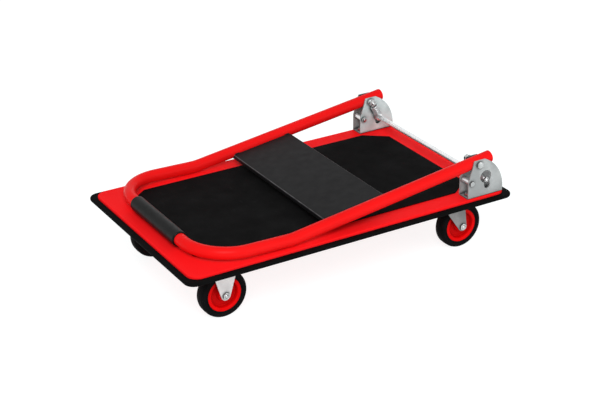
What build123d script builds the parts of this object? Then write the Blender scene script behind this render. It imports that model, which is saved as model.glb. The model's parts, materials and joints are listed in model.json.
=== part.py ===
from build123d import *
import os
from math import atan2, cos, hypot, pi, radians, sin, sqrt

# Folding platform trolley, lying folded. Millimetres, +Z up, origin on the floor under the platform's middle.
# +X points to the hinge end, +Y to the right of someone standing at the hinge end and looking along the deck.

# Platform
DECK_LENGTH = 730.0
DECK_WIDTH = 436.0
DECK_CORNER = 24.0
DECK_SHEET = 1.5
EDGE_BEND = 2.0
FLANGE_WIDTH = 8.0
FLANGE_DROP = 10.25
FLANGE_CORNER = 18.0
BUMPER_REACH = 12.0
BUMPER_THICKNESS = 8.0
BUMPER_ROUND = 3.4
MAT_FRONT_GAP = 45.0
MAT_REAR_GAP = 51.0
MAT_SIDE_GAP = 42.5
MAT_CUT_X = 48.0
MAT_CUT_Y = 37.0
MAT_THICKNESS = 2.0
MAT_BEVEL = 0.6

# Stiffening under the platform
HAT_SHEET = 2.0
HAT_DEPTH = 12.0
HAT_WIDTH = 96.0
HAT_BRIM = 14.0
HAT_BEND = 3.0
HAT_MARGIN = 4.0
HAT_BOLT_INSET = 12.0
RIB_WIDTH = 40.0
RIB_DEPTH = 10.0
RIB_OFFSET = 95.0
RIB_END_GAP = 4.0

# Casters
FRONT_CASTER_INSET = 97.5
REAR_CASTER_INSET = 97.0
CASTER_SIDE_INSET = 69.5
TRAIL = 27.0
TYRE_CLEARANCE = 11.0
PLATE_SHEET = 3.0
PLATE_CORNER = 8.0
PLATE_EDGE = 10.0
BOLT_HEAD_GAP = 3.5
FORK_SHEET = 2.5
FORK_EYE = 10.0
FIXED_FORK_TOP = 64.0
SWIVEL_FORK_TOP = 58.0
FORK_SIDE_GAP = 1.0
CROWN_RADIUS = 29.0
CROWN_HEIGHT = 5.5
RACE_RADIUS = 20.0
RACE_GAP = 1.0
BALL_RADIUS = 3.5
BALL_COUNT = 8
KINGPIN_RADIUS = 6.0
KINGPIN_HEAD_RADIUS = 10.0
KINGPIN_HEAD = 3.0

# Wheels
WHEEL_DIAMETER = 100.0
TYRE_WIDTH = 27.0
TYRE_SHOULDER = 5.0
RIM_RADIUS = 36.0
RIM_WIDTH = 24.0
RIM_WALL = 6.5
WEB_THICKNESS = 8.0
WEB_SLOPE = 2.5
WEB_ROUND = 1.8
BOSS_RADIUS = 12.0
HUB_WIDTH = 29.0
WHEEL_BUSH_RADIUS = 6.0

# Handle
TUBE_DIAMETER = 25.4
TUBE_WALL = 1.5
LEG_INSET = 17.5
PIVOT_INSET = 72.0
PIVOT_RISE = 73.0
TAIL = 37.5
CAP_FLANGE = 5.0
CAP_ROUND = 2.0
CAP_STEM = 10.0
KNEE_LENGTH = 187.0
KNEE_CLEARANCE = 0.5
KNEE_RADIUS = 120.0
CROSSBAR_INSET = 40.0
CROSSBAR_RISE = 18.0
HANDLE_CORNER = 92.0
GRIP_LENGTH = 188.0
GRIP_DIAMETER = 32.0
GRIP_ROUND = 2.5
PANEL_FROM_PIVOT = 208.0
PANEL_LENGTH = 141.0
PANEL_SHEET = 2.0
PANEL_LIP = 10.0
PANEL_BEND = 2.5
PANEL_DROP = 2.0

# Hinge brackets
BRACKET_SHEET = 2.5
BRACKET_FRONT = 25.0
BRACKET_REAR = 61.0
BRACKET_BEND = 3.0
CHEEK_EDGE = 9.3
CHEEK_FRONT = 38.0
CHEEK_NOSE = 12.0
CHEEK_NOSE_ROUND = 3.0
CHEEK_BACK = 15.0
CHEEK_ARC = 80.0
KEYHOLE_RADIUS = 13.5
SLOT_PLAY = 4.0
STOP_DROP = 38.5
STOP_SLEEVE_RADIUS = 5.0
BASE_BOLT_INSET = 11.0
BASE_NUT_GAP = 0.5

# Release bar and its springs
BAR_RADIUS = 5.25
BAR_NUT_PROUD = 1.5
LOCK_ANGLE = 63.1
SLOT_TILT = 12.0
BAR_RAISE = 8.0
BAR_PRESS = 13.2
SLEEVE_RADIUS = 6.0
SPOOL_RADIUS = 8.0
SPOOL_FLANGE = 2.5
SPRING_WIRE = 2.0
SPRING_RADIUS = 7.2
SPRING_TURNS = 9.5
SPRING_END = 9.5
SPRING_BEND = 2.5
SPRING_HOOK_ARC = 230.0
HOOK_STEPS = 3
SPRING_SAMPLES = 700

# Fasteners: M8 for the pivots, axles and plates, with thin nuts on the axles, and M6 for the stops and
# the release bar's ends
M8_RADIUS = 4.0
M8_FLAT = 13.0
M8_HEAD = 5.3
M8_NUT = 6.5
AXLE_NUT = 4.0
M6_RADIUS = 3.0
M6_FLAT = 10.0
M6_HEAD = 4.0
M6_NUT = 5.0
THREAD_STICK_OUT = 2.0
AXLE_STICK_OUT = 1.0

# Clearances
SEAT = 0.02
RUN = 0.05
BOLT_HOLE_PLAY = 0.5
SIDE_GAP = 0.3
SWING_GAP = 0.3

# Places along and across the platform
MAT_LENGTH = DECK_LENGTH - MAT_FRONT_GAP - MAT_REAR_GAP
MAT_X = (MAT_FRONT_GAP - MAT_REAR_GAP) / 2
MAT_WIDTH = DECK_WIDTH - 2 * MAT_SIDE_GAP
FRONT_X = FRONT_CASTER_INSET - DECK_LENGTH / 2
REAR_X = DECK_LENGTH / 2 - REAR_CASTER_INSET
REAR_AXLE_X = REAR_X + TRAIL
CASTER_Y = DECK_WIDTH / 2 - CASTER_SIDE_INSET
PIVOT_X = DECK_LENGTH / 2 - PIVOT_INSET
CROSSBAR_X = CROSSBAR_INSET - DECK_LENGTH / 2
KNEE_X = CROSSBAR_X + KNEE_LENGTH
LEG_Y = DECK_WIDTH / 2 - LEG_INSET

# Heights
AXLE_Z = WHEEL_DIAMETER / 2
CROWN_LOW = WHEEL_DIAMETER + TYRE_CLEARANCE
CROWN_TOP = CROWN_LOW + CROWN_HEIGHT
BALL_Z = CROWN_TOP + RACE_GAP / 2
RACE_LOW = BALL_Z + RACE_GAP / 2
PLATE_LOW = BALL_Z + BALL_RADIUS + RACE_GAP
PLATE_TOP = PLATE_LOW + PLATE_SHEET
DECK_UNDERSIDE = PLATE_TOP + HAT_DEPTH
DECK_TOP = DECK_UNDERSIDE + DECK_SHEET
FLANGE_LOW = DECK_TOP - FLANGE_DROP
BUMPER_LOW = FLANGE_LOW + DECK_SHEET / 2 - BUMPER_THICKNESS / 2
BUMPER_TOP = BUMPER_LOW + BUMPER_THICKNESS
BUMPER_CORNER = FLANGE_CORNER + BUMPER_REACH - FLANGE_WIDTH
PIVOT_Z = DECK_TOP + PIVOT_RISE
KNEE_Z = DECK_TOP + TUBE_DIAMETER / 2 + KNEE_CLEARANCE
CROSSBAR_Z = DECK_TOP + CROSSBAR_RISE

# Widths across the hinge, measured from the middle plane
TUBE_RADIUS = TUBE_DIAMETER / 2
CHEEK_INSIDE = TUBE_RADIUS + SIDE_GAP
BRACKET_OUT = LEG_Y + CHEEK_INSIDE + BRACKET_SHEET
BRACKET_IN = LEG_Y - CHEEK_INSIDE - BRACKET_SHEET
SPRING_Y = BRACKET_IN - SIDE_GAP - SPRING_RADIUS - SPRING_WIRE / 2
HOOK_Y = SPRING_Y + SPRING_BEND
SLEEVE_END = HOOK_Y - SPRING_WIRE / 2 - SIDE_GAP
SPOOL_END = SLEEVE_END - SPOOL_FLANGE
FORK_IN = HUB_WIDTH / 2 + FORK_SIDE_GAP
FORK_OUT = FORK_IN + FORK_SHEET
WHEEL_BUSH_LENGTH = 2 * (FORK_IN - SIDE_GAP)

# The caster plates' bolts keep off the hats' sides, and their heads stand clear outside the fork legs
PLATE_HOLES_X = HAT_WIDTH - 2 * HAT_BOLT_INSET
PLATE_LENGTH = PLATE_HOLES_X + 2 * PLATE_EDGE
PLATE_HOLE_Y = FORK_OUT + M8_FLAT / sqrt(3) + BOLT_HEAD_GAP
PLATE_WIDTH = 2 * (PLATE_HOLE_Y + PLATE_EDGE)
HAT_REACH = CASTER_Y + PLATE_WIDTH / 2 + HAT_MARGIN

# The folded leg's slope and its direction from the pivot to the knee
LEG_SLOPE = atan2(PIVOT_Z - KNEE_Z, PIVOT_X - KNEE_X)
LEG_DIRECTION = Vector(-cos(LEG_SLOPE), 0, -sin(LEG_SLOPE))

# The release bar rests just outside the circle that the tube's tail sweeps
TAIL_SWEEP = hypot(TAIL - CAP_ROUND, TUBE_RADIUS - CAP_ROUND) + CAP_ROUND
BAR_DISTANCE = TAIL_SWEEP + M6_RADIUS + SWING_GAP
BAR_X = PIVOT_X + BAR_DISTANCE * cos(radians(LOCK_ANGLE))
BAR_Z = PIVOT_Z - BAR_DISTANCE * sin(radians(LOCK_ANGLE))
SLOT_UP = Vector(-sin(radians(SLOT_TILT)), 0, cos(radians(SLOT_TILT)))
SLOT_RADIUS = M6_RADIUS + SLOT_PLAY

# The right-hand spring's own frame: along it, sideways in its hooks' plane, and across that plane
SPRING_ALONG = Vector(cos(radians(LOCK_ANGLE)), 0, -sin(radians(LOCK_ANGLE)))
SPRING_ACROSS = Vector(0, -1, 0)
SPRING_SIDE = SPRING_ACROSS.cross(SPRING_ALONG)

# The stop sleeve meets the rounded rim of the upright tail
STOP_REACH = STOP_SLEEVE_RADIUS + SIDE_GAP + CAP_ROUND
STOP_BELOW_RIM = STOP_DROP - (TAIL - CAP_ROUND)
STOP_X = PIVOT_X - (TUBE_RADIUS - CAP_ROUND) - sqrt(STOP_REACH**2 - STOP_BELOW_RIM**2)
STOP_Z = PIVOT_Z - STOP_DROP

SIDES = {"left": -1, "right": 1}


# Shared shapes
def rounded_slab(length, width, radius, low, high):
    """A flat slab with rounded corners, between two heights."""
    return Pos(0, 0, low) * extrude(RectangleRounded(length, width, radius), high - low)


def upright_plane(y):
    """A plane at y whose local x and y run along +X and +Z, and whose normal is -Y."""
    return Plane(origin=(0, y, 0), x_dir=(1, 0, 0), z_dir=(0, -1, 0))


def cheek_plate(outline, y_low, y_high):
    """A plate with an outline in X and Z, between two y values."""
    return extrude(upright_plane(y_high) * outline, y_high - y_low)


def round_bar(radius, x, z, y_low, y_high):
    """A rod along Y."""
    return cheek_plate(Pos(x, z) * Circle(radius), y_low, y_high)


def round_sleeve(outer, bore, x, z, y_low, y_high):
    """A sleeve along Y."""
    return cheek_plate(Pos(x, z) * (Circle(outer) - Circle(bore)), y_low, y_high)


def hexagon(flat):
    """A hexagon outline by its width across flats."""
    return RegularPolygon(flat / 2, 6, major_radius=False)


def hex_bolt(radius, flat, head, length):
    """A bolt along +Z: the head is below z = 0 and the shank above it."""
    return extrude(hexagon(flat), -head) + extrude(Circle(radius), length)


def hex_nut(radius, flat, height):
    """A nut from z = 0 upwards."""
    return extrude(hexagon(flat) - Circle(radius + SEAT), height)


def facing_y(shape, x, y, z, sign):
    """Puts a shape made along +Z along +Y or -Y instead, from the point given."""
    return Pos(x, y, z) * Rot(-90 * sign, 0, 0) * shape


def both_sides(shape):
    """A shape on the right and its mirror image on the left, as separate solids."""
    return Compound(children=[shape, mirror(shape, about=Plane.XZ)])


def on_side(shape, side):
    """A shape made on the right, or its mirror image on the left."""
    return shape if side == "right" else mirror(shape, about=Plane.XZ)


# Platform
def make_flange():
    """The flat edge of the platform that the bumper is pushed onto."""
    return rounded_slab(
        DECK_LENGTH + 2 * FLANGE_WIDTH,
        DECK_WIDTH + 2 * FLANGE_WIDTH,
        FLANGE_CORNER,
        FLANGE_LOW,
        FLANGE_LOW + DECK_SHEET,
    )


def base_bolt_places():
    """Where the bolts of the right-hand bracket pass the platform: near its front edge and behind the hat."""
    first = PIVOT_X - BRACKET_FRONT + BASE_BOLT_INSET
    last = REAR_X + HAT_WIDTH / 2 + HAT_BRIM + M8_FLAT / sqrt(3) + BASE_NUT_GAP
    return [(first, LEG_Y), (last, LEG_Y)]


def make_deck_pan():
    """Pressed sheet platform with a stepped edge and an outward flange."""
    shell = rounded_slab(DECK_LENGTH, DECK_WIDTH, DECK_CORNER, FLANGE_LOW, DECK_TOP)
    shell = fillet(shell.faces().sort_by(Axis.Z)[-1].edges(), EDGE_BEND)
    hollow = rounded_slab(
        DECK_LENGTH - 2 * DECK_SHEET,
        DECK_WIDTH - 2 * DECK_SHEET,
        DECK_CORNER - DECK_SHEET,
        FLANGE_LOW,
        DECK_UNDERSIDE,
    )
    pan = shell + make_flange() - hollow
    for x, y in base_bolt_places():
        for sign in SIDES.values():
            hole = Cylinder(M8_RADIUS + BOLT_HOLE_PLAY, 4 * DECK_SHEET)
            pan -= Pos(x, sign * y, DECK_TOP) * hole
    return pan


def make_edge_bumper():
    """Rubber edging with a rounded lip and a slot for the platform's flange."""
    lip = rounded_slab(
        DECK_LENGTH + 2 * BUMPER_REACH,
        DECK_WIDTH + 2 * BUMPER_REACH,
        BUMPER_CORNER,
        BUMPER_LOW,
        BUMPER_TOP,
    )
    levels = lip.faces().sort_by(Axis.Z)
    lip = fillet(levels[0].edges() + levels[-1].edges(), BUMPER_ROUND)
    lip -= rounded_slab(DECK_LENGTH, DECK_WIDTH, DECK_CORNER, BUMPER_LOW, BUMPER_TOP)
    return lip - make_flange()


def make_deck_mat():
    """Rubber mat with cut corners."""
    half_x = MAT_LENGTH / 2
    half_y = MAT_WIDTH / 2
    quarter = [(half_x, half_y - MAT_CUT_Y), (half_x - MAT_CUT_X, half_y)]
    points = quarter + [(-x, y) for x, y in reversed(quarter)]
    points += [(-x, -y) for x, y in quarter] + [(x, -y) for x, y in reversed(quarter)]
    mat = Pos(MAT_X, 0, DECK_TOP) * extrude(make_face(Polyline(*points, close=True)), MAT_THICKNESS)
    return chamfer(mat.faces().sort_by(Axis.Z)[-1].edges(), MAT_BEVEL)


# Stiffening under the platform
def hat_section(width, depth):
    """Outline of a hat section: the brims are at y = 0 and the web below them."""
    wall = width / 2
    brim = wall + HAT_BRIM
    right = [
        (wall - HAT_SHEET, HAT_SHEET - depth),
        (wall - HAT_SHEET, 0),
        (brim, 0),
        (brim, -HAT_SHEET),
        (wall, -HAT_SHEET),
        (wall, -depth),
    ]
    left = [(-x, y) for x, y in reversed(right)]
    outline = make_face(Polyline(*right, *left, close=True))
    return fillet(outline.vertices().group_by(Axis.Y)[0], HAT_BEND)


def plate_hole_places():
    """Bolt places of one caster plate, about its middle."""
    half_x = PLATE_HOLES_X / 2
    return [(x, y) for x in (-half_x, half_x) for y in (-PLATE_HOLE_Y, PLATE_HOLE_Y)]


def make_cross_member(x):
    """Hat section across the platform that two casters are bolted to."""
    section = Pos(x, DECK_UNDERSIDE) * hat_section(HAT_WIDTH, HAT_DEPTH)
    member = cheek_plate(section, -HAT_REACH, HAT_REACH)
    hole = Cylinder(M8_RADIUS + BOLT_HOLE_PLAY, 4 * HAT_SHEET)
    for sign in SIDES.values():
        for hole_x, hole_y in plate_hole_places():
            member -= Pos(x + hole_x, sign * CASTER_Y + hole_y, PLATE_TOP) * hole
    return member


def make_long_stiffeners():
    """Two hat sections along the platform, between the cross members."""
    inset = HAT_WIDTH / 2 + HAT_BRIM + RIB_END_GAP
    length = REAR_X - FRONT_X - 2 * inset
    plane = Plane(origin=(FRONT_X + inset, RIB_OFFSET, DECK_UNDERSIDE), x_dir=(0, 1, 0), z_dir=(1, 0, 0))
    return both_sides(extrude(plane * hat_section(RIB_WIDTH, RIB_DEPTH), length))


# Casters
def caster_plate():
    """Caster top plate with its bolt holes, about its own middle."""
    plate = rounded_slab(PLATE_LENGTH, PLATE_WIDTH, PLATE_CORNER, PLATE_LOW, PLATE_TOP)
    hole = Cylinder(M8_RADIUS + BOLT_HOLE_PLAY, 4 * PLATE_SHEET)
    for x, y in plate_hole_places():
        plate -= Pos(x, y, PLATE_TOP) * hole
    return plate


def fork_legs(axle_x, top_x, top_width, top_z):
    """Two tapered legs, about the caster's middle plane, with eyes for the axle bolt."""
    eye = Pos(axle_x, AXLE_Z) * Circle(FORK_EYE)
    top = Line((top_x - top_width / 2, top_z), (top_x + top_width / 2, top_z))
    outline = make_hull(eye.edges() + [top])
    outline -= Pos(axle_x, AXLE_Z) * Circle(M8_RADIUS + SEAT)
    leg = cheek_plate(outline, FORK_IN, FORK_OUT)
    return leg + mirror(leg, about=Plane.XZ)


def make_front_fork(side):
    """Fixed caster: plate and legs pressed from one sheet."""
    fork = caster_plate() + fork_legs(0, 0, FIXED_FORK_TOP, PLATE_LOW)
    return Pos(FRONT_X, SIDES[side] * CASTER_Y, 0) * fork


def ball_ring(radius):
    """The ring that the balls' groove is cut with."""
    return Pos(0, 0, BALL_Z) * Torus(RACE_RADIUS, radius)


def make_swivel_plate(side):
    """Turning caster's top plate with its upper ball race."""
    race = extrude(Circle(CROWN_RADIUS), PLATE_LOW - RACE_LOW)
    plate = caster_plate() + Pos(0, 0, RACE_LOW) * race - ball_ring(BALL_RADIUS + RUN)
    plate -= Pos(0, 0, RACE_LOW) * Cylinder(KINGPIN_RADIUS + SEAT, 4 * PLATE_TOP)
    return Pos(REAR_X, SIDES[side] * CASTER_Y, 0) * plate


def make_swivel_balls():
    """The balls of both turning casters."""
    balls = []
    for sign in SIDES.values():
        for number in range(BALL_COUNT):
            turn = 2 * pi * number / BALL_COUNT
            x = REAR_X + RACE_RADIUS * cos(turn)
            y = sign * CASTER_Y + RACE_RADIUS * sin(turn)
            balls.append(Pos(x, y, BALL_Z) * Sphere(BALL_RADIUS))
    return Compound(children=balls)


def make_kingpin(side):
    """Pin of a turning caster: fast in the plate, with a head under the fork."""
    head_top = CROWN_LOW - SIDE_GAP
    pin = Pos(0, 0, head_top) * extrude(Circle(KINGPIN_RADIUS), PLATE_TOP - head_top)
    head = Pos(0, 0, head_top) * extrude(Circle(KINGPIN_HEAD_RADIUS), -KINGPIN_HEAD)
    head = chamfer(head.faces().sort_by(Axis.Z)[0].edges(), KINGPIN_HEAD / 2)
    return Pos(REAR_X, SIDES[side] * CASTER_Y, 0) * (pin + head)


def make_swivel_fork(side):
    """Turning fork: a crown with the lower ball race and two raked legs."""
    crown = Pos(0, 0, CROWN_LOW) * extrude(Circle(CROWN_RADIUS), CROWN_HEIGHT)
    bridge = Pos(0, 0, CROWN_LOW) * extrude(Rectangle(SWIVEL_FORK_TOP, 2 * FORK_OUT), FORK_SHEET)
    fork = crown + bridge + fork_legs(TRAIL, 0, SWIVEL_FORK_TOP, CROWN_LOW + FORK_SHEET)
    fork -= ball_ring(BALL_RADIUS + RUN)
    fork -= Pos(0, 0, CROWN_LOW) * Cylinder(KINGPIN_RADIUS + RUN, 4 * CROWN_HEIGHT)
    return Pos(REAR_X, SIDES[side] * CASTER_Y, 0) * fork


def axle_bolt(x, sign):
    """Axle bolt with its head on the inner leg."""
    length = 2 * FORK_OUT + AXLE_NUT + AXLE_STICK_OUT
    bolt = hex_bolt(M8_RADIUS, M8_FLAT, M8_HEAD, length)
    return facing_y(bolt, x, sign * (CASTER_Y - FORK_OUT), AXLE_Z, sign)


def axle_nut(x, sign):
    """Thin axle nut on the outer leg."""
    nut = hex_nut(M8_RADIUS, M8_FLAT, AXLE_NUT)
    return facing_y(nut, x, sign * (CASTER_Y + FORK_OUT), AXLE_Z, sign)


def caster_fasteners(shape, z):
    """One fastener in every hole of the four caster plates."""
    places = []
    for x in (FRONT_X, REAR_X):
        for sign in SIDES.values():
            for hole_x, hole_y in plate_hole_places():
                places.append(Pos(x + hole_x, sign * CASTER_Y + hole_y, z) * shape)
    return Compound(children=places)


def make_caster_bolts():
    """Bolts put up through the caster plates."""
    grip = PLATE_SHEET + HAT_SHEET + M8_NUT + THREAD_STICK_OUT
    return caster_fasteners(hex_bolt(M8_RADIUS, M8_FLAT, M8_HEAD, grip), PLATE_LOW)


def make_caster_nuts():
    """Nuts inside the cross members."""
    return caster_fasteners(hex_nut(M8_RADIUS, M8_FLAT, M8_NUT), PLATE_TOP + HAT_SHEET)


# Wheels
def wheel_place(end, side):
    """The middle of a wheel."""
    x = FRONT_X if end == "front" else REAR_AXLE_X
    return Pos(x, SIDES[side] * CASTER_Y, AXLE_Z)


def wheel_solid(outline):
    """A solid of revolution about a wheel's axle, from an outline of radius and width."""
    return revolve(outline, Axis.Y)


def make_tyre():
    """Solid rubber tyre with rounded shoulders."""
    half = TYRE_WIDTH / 2
    seat = RIM_RADIUS + SEAT
    radius = WHEEL_DIAMETER / 2
    outline = make_face(Polyline((seat, -half), (radius, -half), (radius, half), (seat, half), close=True))
    outline = fillet(outline.vertices().group_by(Axis.X)[-1], TYRE_SHOULDER)
    return wheel_solid(outline)


def make_hub():
    """Moulded hub: rim, dished web and boss."""
    bore = WHEEL_BUSH_RADIUS + SEAT
    rim_in = RIM_RADIUS - RIM_WALL
    upper = [
        (bore, HUB_WIDTH / 2),
        (BOSS_RADIUS, HUB_WIDTH / 2),
        (BOSS_RADIUS + WEB_SLOPE, WEB_THICKNESS / 2),
        (rim_in - WEB_SLOPE, WEB_THICKNESS / 2),
        (rim_in, RIM_WIDTH / 2),
        (RIM_RADIUS, RIM_WIDTH / 2),
    ]
    lower = [(r, -y) for r, y in reversed(upper)]
    outline = make_face(Polyline(*upper, *lower, close=True))
    dish = [corner for corner in outline.vertices() if bore < corner.X < RIM_RADIUS]
    return wheel_solid(fillet(dish, WEB_ROUND))


def make_wheel_bush():
    """Bush that turns on the axle bolt."""
    half = WHEEL_BUSH_LENGTH / 2
    bore = M8_RADIUS + RUN
    middle = (bore + WHEEL_BUSH_RADIUS) / 2
    return wheel_solid(Pos(middle, 0) * Rectangle(WHEEL_BUSH_RADIUS - bore, 2 * half))


# Handle
def tube_end(sign):
    """The open end of a leg's tube, where the cap's flange begins."""
    pivot = Vector(PIVOT_X, sign * LEG_Y, PIVOT_Z)
    return pivot - LEG_DIRECTION * (TAIL - CAP_FLANGE)


def make_handle_tube():
    """One bent tube: two legs, a knee in each, and a cross-bar between rounded corners."""
    points = [tube_end(-1)]
    points.append(Vector(KNEE_X, -LEG_Y, KNEE_Z))
    points.append(Vector(CROSSBAR_X, -LEG_Y, CROSSBAR_Z))
    points.append(Vector(CROSSBAR_X, LEG_Y, CROSSBAR_Z))
    points.append(Vector(KNEE_X, LEG_Y, KNEE_Z))
    points.append(tube_end(1))
    radii = [KNEE_RADIUS, HANDLE_CORNER, HANDLE_CORNER, KNEE_RADIUS]
    path = FilletPolyline(*points, radius=radii)
    ring = Circle(TUBE_RADIUS) - Circle(TUBE_RADIUS - TUBE_WALL)
    tube = sweep(Plane(origin=points[0], z_dir=LEG_DIRECTION) * ring, path)
    for sign in SIDES.values():
        middle = sign * LEG_Y
        hole = round_bar(
            WHEEL_BUSH_RADIUS + SEAT, PIVOT_X, PIVOT_Z, middle - TUBE_DIAMETER, middle + TUBE_DIAMETER
        )
        tube -= hole
    return tube


def make_tube_end_cap():
    """Cap in the right-hand leg's rear end, with a rounded rim."""
    flange = extrude(Circle(TUBE_RADIUS), CAP_FLANGE)
    flange = fillet(flange.faces().sort_by(Axis.Z)[-1].edges(), CAP_ROUND)
    stem = extrude(Circle(TUBE_RADIUS - TUBE_WALL - SEAT), -CAP_STEM)
    end = tube_end(1)
    return Plane(origin=end, z_dir=-LEG_DIRECTION) * (flange + stem)


def make_pivot_bush():
    """Bush across the right-hand leg that turns on the pivot bolt."""
    half = CHEEK_INSIDE - SIDE_GAP / 2
    return round_sleeve(WHEEL_BUSH_RADIUS, M8_RADIUS + RUN, PIVOT_X, PIVOT_Z, LEG_Y - half, LEG_Y + half)


def make_handle_grip():
    """Sleeve on the cross-bar."""
    half = GRIP_LENGTH / 2
    grip = round_sleeve(GRIP_DIAMETER / 2, TUBE_RADIUS + SEAT, CROSSBAR_X, CROSSBAR_Z, -half, half)
    rims = grip.edges().filter_by(GeomType.CIRCLE).group_by(SortBy.RADIUS)[-1]
    return fillet(rims, GRIP_ROUND)


def make_handle_panel():
    """Sheet between the legs, with its front and rear edges folded down."""
    near = PANEL_FROM_PIVOT
    far = PANEL_FROM_PIVOT + PANEL_LENGTH
    top = PANEL_SHEET / 2 - PANEL_DROP
    outline = make_face(
        Polyline(
            (near, top),
            (far, top),
            (far, top - PANEL_LIP),
            (far - PANEL_SHEET, top - PANEL_LIP),
            (far - PANEL_SHEET, top - PANEL_SHEET),
            (near + PANEL_SHEET, top - PANEL_SHEET),
            (near + PANEL_SHEET, top - PANEL_LIP),
            (near, top - PANEL_LIP),
            close=True,
        )
    )
    outline = fillet(outline.vertices().group_by(Axis.Y)[-1], PANEL_BEND)
    pivot = (PIVOT_X, 0, PIVOT_Z)
    plane = Plane(origin=pivot, x_dir=LEG_DIRECTION, z_dir=(0, 1, 0))
    panel = extrude(plane * outline, LEG_Y, both=True)
    for sign in SIDES.values():
        leg = Plane(origin=(PIVOT_X, sign * LEG_Y, PIVOT_Z), z_dir=LEG_DIRECTION)
        panel -= leg * Cylinder(TUBE_RADIUS + SEAT, 2 * (far + PANEL_LENGTH))
    return panel.solids().sort_by(SortBy.VOLUME)[-1]


# Hinge brackets
def bar_place(travel):
    """Middle of the release bar, in X and Z, at a travel along its slot."""
    return (BAR_X + SLOT_UP.X * travel, BAR_Z + SLOT_UP.Z * travel)


def make_slot():
    """Outline of the slot that the bar's end travels in."""
    ends = [Pos(*bar_place(travel)) * Circle(SLOT_RADIUS) for travel in (BAR_RAISE, -BAR_PRESS)]
    return make_hull(ends[0].edges() + ends[1].edges())


def make_keyhole():
    """Outline of the outer cheek's keyhole: the slot with a round top."""
    return make_slot() + Pos(*bar_place(BAR_RAISE)) * Circle(KEYHOLE_RADIUS)


def cheek_outline():
    """Outline of a bracket cheek: upright front, raked nose, flat top and round back."""
    front = PIVOT_X - BRACKET_FRONT
    rear = PIVOT_X + BRACKET_REAR
    top = PIVOT_Z + CHEEK_EDGE
    nose = (PIVOT_X - CHEEK_NOSE, top)
    back = (PIVOT_X + CHEEK_BACK, top)
    lines = Polyline(back, nose, (front, DECK_TOP + CHEEK_FRONT), (front, DECK_TOP), (rear, DECK_TOP))
    round_back = RadiusArc((rear, DECK_TOP), back, -CHEEK_ARC)
    outline = make_face(lines.edges() + [round_back])
    corner = outline.vertices().sort_by_distance((*nose, 0))[0]
    return fillet(corner, CHEEK_NOSE_ROUND)


def make_hinge_bracket(side):
    """Channel bent from one sheet, with a base on the platform and two cheeks."""
    block = cheek_plate(cheek_outline(), BRACKET_IN, BRACKET_OUT)
    bends = block.faces().sort_by(Axis.Z)[0].edges().filter_by(Axis.X)
    block = fillet(bends, BRACKET_BEND)
    middle = (PIVOT_X, LEG_Y, DECK_TOP + BRACKET_SHEET)
    room = Pos(*middle) * extrude(Rectangle(4 * BRACKET_REAR, 2 * CHEEK_INSIDE), 2 * PIVOT_RISE)
    bracket = block - room
    bracket -= cheek_plate(make_slot(), BRACKET_IN, LEG_Y)
    bracket -= cheek_plate(make_keyhole(), LEG_Y, BRACKET_OUT)
    bracket -= round_bar(M8_RADIUS + SEAT, PIVOT_X, PIVOT_Z, BRACKET_IN, BRACKET_OUT)
    bracket -= round_bar(M6_RADIUS + SEAT, STOP_X, STOP_Z, BRACKET_IN, BRACKET_OUT)
    hole = Cylinder(M8_RADIUS + BOLT_HOLE_PLAY, 4 * BRACKET_SHEET)
    for x, y in base_bolt_places():
        bracket -= Pos(x, y, DECK_TOP) * hole
    return on_side(bracket, side)


def base_fasteners(shape, z):
    """One fastener in every base hole of the two brackets."""
    places = []
    for x, y in base_bolt_places():
        for sign in SIDES.values():
            places.append(Pos(x, sign * y, z) * shape)
    return Compound(children=places)


def make_bracket_bolts():
    """Bolts put down through the bracket bases."""
    grip = BRACKET_SHEET + DECK_SHEET + M8_NUT + THREAD_STICK_OUT
    bolt = Rot(180, 0, 0) * hex_bolt(M8_RADIUS, M8_FLAT, M8_HEAD, grip)
    return base_fasteners(bolt, DECK_TOP + BRACKET_SHEET)


def make_bracket_nuts():
    """Nuts under the platform."""
    return base_fasteners(hex_nut(M8_RADIUS, M8_FLAT, M8_NUT), DECK_UNDERSIDE - M8_NUT)


def make_pivot_bolt():
    """Right-hand pivot bolt, with its head outside and its thread past the spring."""
    length = BRACKET_OUT - SLEEVE_END + M8_NUT + THREAD_STICK_OUT
    bolt = hex_bolt(M8_RADIUS, M8_FLAT, M8_HEAD, length)
    return facing_y(bolt, PIVOT_X, BRACKET_OUT, PIVOT_Z, -1)


def make_pivot_sleeve():
    """Sleeve on the pivot bolt that the spring's upper hook hangs on."""
    return round_sleeve(SLEEVE_RADIUS, M8_RADIUS + SEAT, PIVOT_X, PIVOT_Z, SLEEVE_END, BRACKET_IN)


def make_pivot_nut():
    """Nut at the inner end of the right-hand pivot bolt."""
    return facing_y(hex_nut(M8_RADIUS, M8_FLAT, M8_NUT), PIVOT_X, SLEEVE_END, PIVOT_Z, -1)


def make_stop_bolt():
    """Right-hand stop bolt, with its head outside."""
    length = BRACKET_OUT - BRACKET_IN + M6_NUT + THREAD_STICK_OUT
    bolt = hex_bolt(M6_RADIUS, M6_FLAT, M6_HEAD, length)
    return facing_y(bolt, STOP_X, BRACKET_OUT, STOP_Z, -1)


def make_stop_sleeve():
    """Sleeve between the cheeks that the upright tube leans on."""
    low = LEG_Y - CHEEK_INSIDE
    high = LEG_Y + CHEEK_INSIDE
    return round_sleeve(STOP_SLEEVE_RADIUS, M6_RADIUS + SEAT, STOP_X, STOP_Z, low, high)


def make_stop_nut():
    """Nut on the inner cheek."""
    return facing_y(hex_nut(M6_RADIUS, M6_FLAT, M6_NUT), STOP_X, BRACKET_IN, STOP_Z, -1)


# Release bar
def make_release_bar():
    """Rod across the platform, with thinner threaded ends through the slots."""
    reach = BRACKET_OUT + BAR_NUT_PROUD + THREAD_STICK_OUT / 2
    ends = round_bar(M6_RADIUS, BAR_X, BAR_Z, -reach, reach)
    return ends + round_bar(BAR_RADIUS, BAR_X, BAR_Z, -SPOOL_END, SPOOL_END)


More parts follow.
